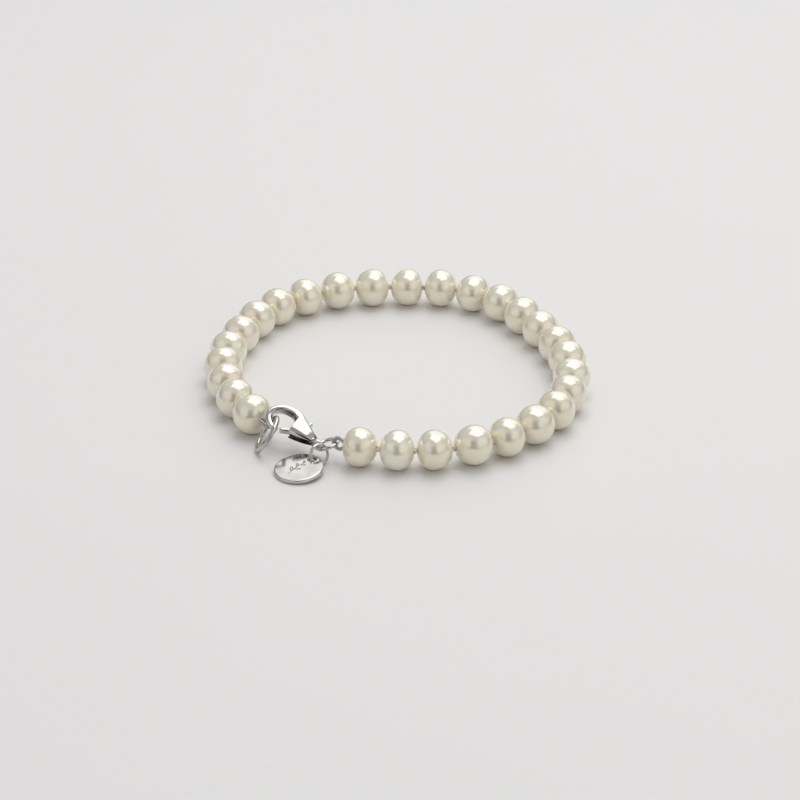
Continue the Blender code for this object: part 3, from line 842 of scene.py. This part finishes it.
def claspArm():
    look = claspLook
    across, rise = roundedSection(look["armSides"], look["armSquareness"])
    reach = look["hookReach"]
    rows = [claspArmRoot]
    for bearing, width, thick in claspArmRows:
        angle = math.radians(bearing)
        outward = math.degrees(math.atan2(math.sin(angle) / reach[1], math.cos(angle) / reach[0])) % 360
        rows.append((*onHook(bearing), outward, width * look["width"], thick * look["thick"]))
    rings = []
    for x, y, outward, width, thick in smoothRows(rows, look["armSteps"]):
        angle = math.radians(outward)
        flat = np.array((x, y)) + np.outer(across * width / 2, (math.cos(angle), math.sin(angle)))
        rings.append(np.column_stack((flat, rise * thick / 2)))
    return skin("claspArm", rings)


def claspEye():
    look = claspLook
    middle = (look["eyeHole"] + look["eyeWire"]) / 2
    x, y = look["eyeMiddle"]
    path = [(x + middle * math.cos(turn), y, middle * math.sin(turn))
            for turn in roundTurns(look["eyeSteps"])]
    return tube("claspEye", path, look["eyeWire"] / 2, look["eyeSides"], up=(0, 1, 0), loop=True)


def shadeClasp(mesh, slot):
    # Paints shade deep in the slot and on the hook's inner side, where the silver is darkened
    look = claspLook
    margin = look["slotShadeMargin"]
    top = look["slotFloor"][1] + margin
    tail = look["slotTaper"][0] + margin
    shade = mesh.attributes.new("inside", "FLOAT", "POINT")
    middle = Vector((*look["hookMiddle"], 0))
    for vertex in mesh.vertices:
        x, y, z = vertex.co
        inSlot = abs(z) < slot + margin and y < top and look["slotShadeFrom"] < x < tail
        toMiddle = middle - vertex.co
        toMiddle.z = 0
        facing = max(0.0, vertex.normal.dot(toMiddle.normalized()) - look["hookShadeFacing"])
        nearBody = min(1.0, max(0.0, (x - look["hookShadeFrom"]) / look["hookShadeOver"]))
        inHook = facing * look["hookShade"] * nearBody
        shade.data[vertex.index].value = look["slotShade"] if inSlot else min(1.0, inHook)


def buildClaspBody(place):
    look = claspLook
    slot = leverLook["thick"] / 2 + leverLook["gap"]
    past = look["cutReach"]
    floorX, floorY = look["slotFloor"]
    tailX, tailHalf, tailY = look["slotTaper"]
    leverSlot = box("leverSlot", (-past, -past, -slot), (floorX, floorY, slot))
    corners = ((-past, -1), (tailY, -1), (tailY, 1), (-past, 1))
    slotEnd = skin("slotEnd", [[(x, y, side * half) for y, side in corners]
                               for x, half in ((floorX - look["slotLap"], slot), (tailX, tailHalf))])
    nub = leverLook["nub"]
    nubSlot = box("nubSlot", (-nub, 0, -slot), (floorX + nub / 2, past, slot))
    steps = [cutOut(leverSlot), cutOut(slotEnd), cutOut(nubSlot), fuseOn(claspArm()), fuseOn(claspEye())]
    mesh = worked(claspBlock(), steps + polishDown(look["grain"], look["soften"]))
    shadeClasp(mesh, slot)
    layPiece("claspShell", mesh, place, claspSilver, ["clasp_body"], creaseDegrees=70)


def barAt(name, bearing, length, width, endWidth, thick):
    # A flat bar from the pin outwards, with rounded edges and a rounded end
    look = leverLook
    angle = math.radians(bearing)
    along = np.array((math.cos(angle), math.sin(angle)))
    side = np.array((-along[1], along[0]))
    across, rise = roundedSection(look["barSides"], look["barSquareness"])
    rings = []
    for share in np.linspace(0, 1, look["barSteps"]):
        size = width + (endWidth - width) * share
        intoEnd = max(0.0, (share - (1 - look["barEnd"])) / look["barEnd"])
        rounding = math.sqrt(max(0.0, 1 - intoEnd ** 2)) * look["barEndFall"] + (1 - look["barEndFall"])
        flat = along * length * share + np.outer(across * size / 2 * rounding, side)
        rings.append(np.column_stack((flat, rise * thick / 2 * rounding)))
    return skin(name, rings)


def buildLever(place):
    look = leverLook
    bearing, tipWidth, _ = claspArmRows[-1]
    tipX, tipY = onHook(bearing)
    tip = Vector((tipX, tipY + tipWidth * claspLook["width"] / 2))
    gateWidth = look["gateWidth"]
    gate = barAt("gate", look["gateBearing"], tip.length - look["gateEndGap"], gateWidth, gateWidth,
                 look["thick"] * look["gateThick"])
    nub = barAt("nub", look["nubBearing"], look["nubLength"], look["nub"] * look["nubFoot"], look["nub"],
                look["thick"] * look["nubThick"])
    half = look["thick"] / 2
    boss = turned("boss", ((look["boss"] / 2, -half), (look["boss"] / 2, half)), look["bossSides"])
    bore = pinLook["across"] / 2 + look["pinEase"]
    hole = turned("pinHole", ((bore, -look["holeReach"]), (bore, look["holeReach"])), look["holeSides"])
    steps = [fuseOn(gate), fuseOn(nub), cutOut(hole)] + polishDown(look["grain"], look["soften"])
    mesh = worked(boss, steps)
    layPiece("claspLever", mesh, place, claspSilver, ["clasp_lever"], leverBody, creaseDegrees=70)


def buildPin(place):
    look = pinLook
    half = claspLook["thick"] / 2 - look["sunk"]
    profile = [(size, -half - rise) for size, rise in look["heads"]]
    profile += [(size, half + rise) for size, rise in reversed(look["heads"])]
    mesh = turned("claspPin", profile, look["sides"])
    layPiece("claspPin", mesh, place, wireSilver, ["clasp_pin"])


claspAt = claspPlace()
buildClaspBody(claspAt)
buildLever(claspAt)
buildPin(claspAt)
print("clasp shaped")

tagLook = {
    "across": 8.0,
    "thick": 0.65,
    "edge": 0.16,
    "sides": 128,
    "faceRings": 26,
    "faceMiddle": 0.05,     # radius of the smallest ring of each face
    "hole": 1.5,
    "holeRim": 0.4,
    "holeFlare": (0.5, 0.45),           # how far the cutter widens, over how much height past each face
    "holeLip": 0.05,
    "holeSides": 56,
    "wave": 0.045,
    "wavesPerMm": 0.34,
    "waveFrom": (3.1, -1.7, 0.4),
    "dome": 0.007,          # fall per square of the distance from the middle
    "domeLevel": 12,        # square of the distance where the dome is level with the plain disc
    "grooveWide": 0.16,
    "grooveDeep": 0.07,
    "grooveSides": 8,
    # shadeFrom, shadeMargin and holeBright set where painted shade goes in the engraved lines
    "shadeFrom": 0.01,      # how deep a place is before it shows dark
    "shadeMargin": 1.5,     # of a groove's depth and of the edge
    "holeBright": 0.25,     # a width round the hole that stays bright
}

# A plain sprig: its stem's start, run and bow, and each leaf's place on the stem with its bearing
sprigLook = {
    "start": (-2.4, -0.35),
    "run": 4.0,
    "bow": 0.55,
    "bend": 2.2,
    "stemSteps": 24,
    "leaves": ((5, 52), (9, -56), (13, 50), (17, -52), (21, 44)),
    "leaf": 1.35,
    "leafShrinks": 0.03,    # for each step up the stem
    "leafSwell": (0.30, -0.30),
    "leafFullness": 0.62,
    "leafSteps": 14,
}


def tagWave(x, y):
    look = tagLook
    startX, startY, level = look["waveFrom"]
    where = Vector((x * look["wavesPerMm"] + startX, y * look["wavesPerMm"] + startY, level))
    return look["wave"] * noise.noise(where) + look["dome"] * (look["domeLevel"] - x * x - y * y)


def tagDisc():
    look = tagLook
    half = look["thick"] / 2
    edge = look["edge"]
    flat = look["across"] / 2 - edge
    face = np.linspace(look["faceMiddle"], flat, look["faceRings"])
    profile = [(size, -half) for size in face]
    profile += [(flat + edge * math.sin(turn), -half + edge - edge * math.cos(turn))
                for turn in np.radians((30, 60, 90))]
    profile += [(flat + edge * math.cos(turn), half - edge + edge * math.sin(turn))
                for turn in np.radians((0, 30, 60))]
    profile += [(size, half) for size in face[::-1]]
    mesh = turned("tagDisc", profile, look["sides"])
    for vertex in mesh.vertices:
        vertex.co.z += tagWave(vertex.co.x, vertex.co.y)
    return mesh


def sprigLines():
    # The stem and both sides of each leaf, as lines in the tag's plane
    look = sprigLook
    startX, startY = look["start"]
    stem = [(startX + look["run"] * share, startY + look["bow"] * math.sin(share * look["bend"]))
            for share in np.linspace(0, 1, look["stemSteps"])]
    lines = [stem]
    for place, bearing in look["leaves"]:
        x, y = stem[place]
        angle = math.radians(bearing)
        length = look["leaf"] - look["leafShrinks"] * place
        for swell in look["leafSwell"]:
            leaf = []
            for share in np.linspace(0, 1, look["leafSteps"]):
                out = length * share
                aside = swell * math.sin(math.pi * share) * length * look["leafFullness"]
                leaf.append((x + out * math.cos(angle) - aside * math.sin(angle),
                             y + out * math.sin(angle) + aside * math.cos(angle)))
            lines.append(leaf)
    return lines


def tagPlace():
    # In the disc's plane, with X from its middle to the ring that holds it
    points, middle, axes = measureNode("round_tag")
    normal = faceNormal(axes)
    toRing = measureNode("tag_ring")[1] - middle
    toRing -= normal * toRing.dot(normal)
    rough = axesAt(middle, toRing, normal)
    local = (points - np.array(middle)) @ np.array(rough.to_3x3())
    centre = rough @ Vector((local.max(axis=0) + local.min(axis=0)) / 2)
    return axesAt(centre, toRing, normal)


def tagHole(holeX):
    look = tagLook
    top = look["thick"] / 2
    size = look["hole"] / 2
    flare, past = look["holeFlare"]
    half = ((size, top - look["holeLip"]), (size + flare, top + past))
    profile = [(radius, -height) for radius, height in reversed(half)]
    hole = turned("tagHole", profile + list(half), look["holeSides"])
    hole.transform(Matrix.Translation((holeX, 0, 0)))
    return hole


def shadeGrooves(mesh, holeX):
    # Paints shade into the engraved lines, where the silver is darkened
    look = tagLook
    top = look["thick"] / 2
    deepest = look["grooveDeep"] * look["shadeMargin"]
    inner = look["across"] / 2 - look["edge"] * look["shadeMargin"]
    bright = look["hole"] / 2 + look["holeBright"]
    shade = mesh.attributes.new("inside", "FLOAT", "POINT")
    for vertex in mesh.vertices:
        x, y, z = vertex.co
        drop = top + tagWave(x, y) - z
        inGroove = look["shadeFrom"] < drop < deepest and math.hypot(x, y) < inner
        nearHole = math.hypot(x - holeX, y) < bright
        shade.data[vertex.index].value = 1.0 if inGroove and not nearHole else 0.0


def buildTag():
    look = tagLook
    holeX = look["across"] / 2 - look["holeRim"] - look["hole"] / 2
    height = look["thick"] / 2 + look["grooveWide"] / 2 - look["grooveDeep"]
    steps = [cutOut(tagHole(holeX))]
    for line in sprigLines():
        path = [(x, y, height + tagWave(x, y)) for x, y in line]
        steps.append(cutOut(tube("groove", path, look["grooveWide"] / 2, look["grooveSides"])))
    mesh = worked(tagDisc(), steps)
    shadeGrooves(mesh, holeX)
    layPiece("roundTag", mesh, tagPlace(), tagSilver, ["round_tag"], creaseDegrees=32)


buildTag()
print("tag pressed")

stageLook = {
    "floorHalf": 1.6,
    "floorColour": (0.845, 0.835, 0.825),
    "floorMottle": 0.985,
    "mottlesPerMetre": 14,
    "floorShader": {"Roughness": 0.55, "Specular IOR Level": 0.3},
    "keyPower": 1.84,
    "keyWide": 0.62,
    "keyDeep": 0.52,
    "keyAt": (0.10, 0.14, 0.62),
}

# Soft patches of the room: where they are, where they fade out and end, and their light
roomPatches = (
    ((0.22, 0.78, 0.58), 0.82, 0.95, 0.95),     # a pale wall behind
    ((-0.74, -0.55, 0.36), 0.70, 0.95, 0.42),   # windows on both sides of the camera
    ((0.74, -0.55, 0.36), 0.70, 0.95, 0.48),
    ((0.00, 0.10, 0.99), 0.60, 0.95, 0.05),     # the ceiling round the softbox
)
roomAir = {"low": (0.045, 0.043, 0.040), "high": (0.35, 0.35, 0.355), "rise": 0.38}
# What stands behind the camera is dark, from the floor up: its middle, half width and top, how soft its
# edges are, where it begins and is full towards the camera, and the share of light that it leaves
roomDark = {"middle": -0.05, "half": 0.27, "top": 0.72, "soft": 0.16, "behind": (-0.1, -0.4), "left": 0.06}


def buildFloor():
    look = stageLook
    half = look["floorHalf"]
    corners = [(-half, -half, 0), (half, -half, 0), (half, half, 0), (-half, half, 0)]
    mesh = bpy.data.meshes.new("paleFloor")
    mesh.from_pydata(corners, [], [(0, 1, 2, 3)])
    finish = Finish("paleFloor", look["floorShader"])
    deeper = tuple(channel * look["floorMottle"] for channel in look["floorColour"])
    mottle = finish.noise(look["mottlesPerMetre"], 3)
    mesh.materials.append(finish.complete(finish.mix(mottle, look["floorColour"], deeper)))
    floor = bpy.data.objects.new("paleFloor", mesh)
    bpy.context.scene.collection.objects.link(floor)


def buildSoftbox():
    look = stageLook
    lamp = bpy.data.lights.new("keySoftbox", "AREA")
    lamp.shape = "RECTANGLE"
    lamp.size = look["keyWide"]
    lamp.size_y = look["keyDeep"]
    lamp.energy = look["keyPower"]
    item = bpy.data.objects.new("keySoftbox", lamp)
    item.location = look["keyAt"]
    item.rotation_euler = (-Vector(look["keyAt"])).to_track_quat("-Z", "Y").to_euler()
    bpy.context.scene.collection.objects.link(item)


def buildRoom():
    # The air round the stage: dark near the ground, with soft bright patches and one dark one
    world = bpy.data.worlds.new("studioAir")
    world.use_nodes = True
    room = NodeTree(world.node_tree)
    direction = room.node("ShaderNodeTexCoord").outputs["Generated"]

    def patch(towards, fade, full, strength):
        dot = room.node("ShaderNodeVectorMath", operation="DOT_PRODUCT")
        dot.inputs[1].default_value = Vector(towards).normalized()
        room.link(direction, dot.inputs[0])
        return room.span(dot.outputs["Value"], 0, strength, fade, full, interpolation_type="SMOOTHSTEP")

    ramp = room.node("ShaderNodeValToRGB")
    ramp.color_ramp.elements[0].color = (*roomAir["low"], 1)
    ramp.color_ramp.elements[1].color = (*roomAir["high"], 1)
    room.link(patch(upward, 0, roomAir["rise"], 1), ramp.inputs["Fac"])
    light = ramp.outputs["Color"]
    for towards, fade, full, strength in roomPatches:
        added = room.node("ShaderNodeVectorMath", operation="ADD")
        room.link(light, added.inputs[0])
        room.link(patch(towards, fade, full, strength), added.inputs[1])
        light = added.outputs["Vector"]

    parts = room.node("ShaderNodeSeparateXYZ")
    room.link(direction, parts.inputs["Vector"])
    middle = roomDark["middle"]
    soft = roomDark["soft"] / 2
    inner = roomDark["half"] - soft
    outer = roomDark["half"] + soft
    edges = [("X", middle - outer, middle - inner), ("X", middle + outer, middle + inner),
             ("Z", roomDark["top"] + soft, roomDark["top"] - soft), ("Y", *roomDark["behind"])]
    shares = [room.span(parts.outputs[axis], 0, 1, fade, full) for axis, fade, full in edges]
    share = shares[0]
    for other in shares[1:]:
        share = room.times(share, other)
    shaded = room.node("ShaderNodeVectorMath", operation="SCALE")
    room.link(light, shaded.inputs[0])
    room.link(room.span(share, 1, roomDark["left"], 0, 1), shaded.inputs["Scale"])
    room.link(shaded.outputs["Vector"], room.tree.nodes["Background"].inputs["Color"])
    bpy.context.scene.world = world


buildFloor()
buildRoom()
buildSoftbox()
bpy.context.scene.view_settings.view_transform = "Standard"
print("stage lit")

# The photograph is 800 pixels square, and 3115 of its pixels make one focal length.
cameraLook = {
    "frameSide": 800,
    "focalPixels": 3115,
    "sensor": 36.0,
    "elevation": 28.0,
    "distance": 520.0,
    "nearest": 10.0,
    "aimFromPearls": (0.52, -6.62),     # millimetres on the floor, from the middle of the pearls' places
}


def buildCamera(pearls):
    look = cameraLook
    points = np.array([pearl["middle"] for pearl in pearls])
    middle = (points.max(axis=0) + points.min(axis=0)) / 2
    aim = Vector((middle[0] + look["aimFromPearls"][0], middle[1] + look["aimFromPearls"][1], 0)) * mm
    angle = math.radians(look["elevation"])
    back = Vector((0, -math.cos(angle), math.sin(angle)))
    camera = bpy.data.cameras.new("photoCamera")
    camera.sensor_width = look["sensor"]
    camera.lens = look["focalPixels"] / look["frameSide"] * look["sensor"]
    camera.clip_start = look["nearest"] * mm
    item = bpy.data.objects.new("photoCamera", camera)
    item.location = aim + back * look["distance"] * mm
    item.rotation_euler = (-back).to_track_quat("-Z", "Y").to_euler()
    bpy.context.scene.collection.objects.link(item)
    bpy.context.scene.camera = item


buildCamera(pearlString)
print("camera placed")
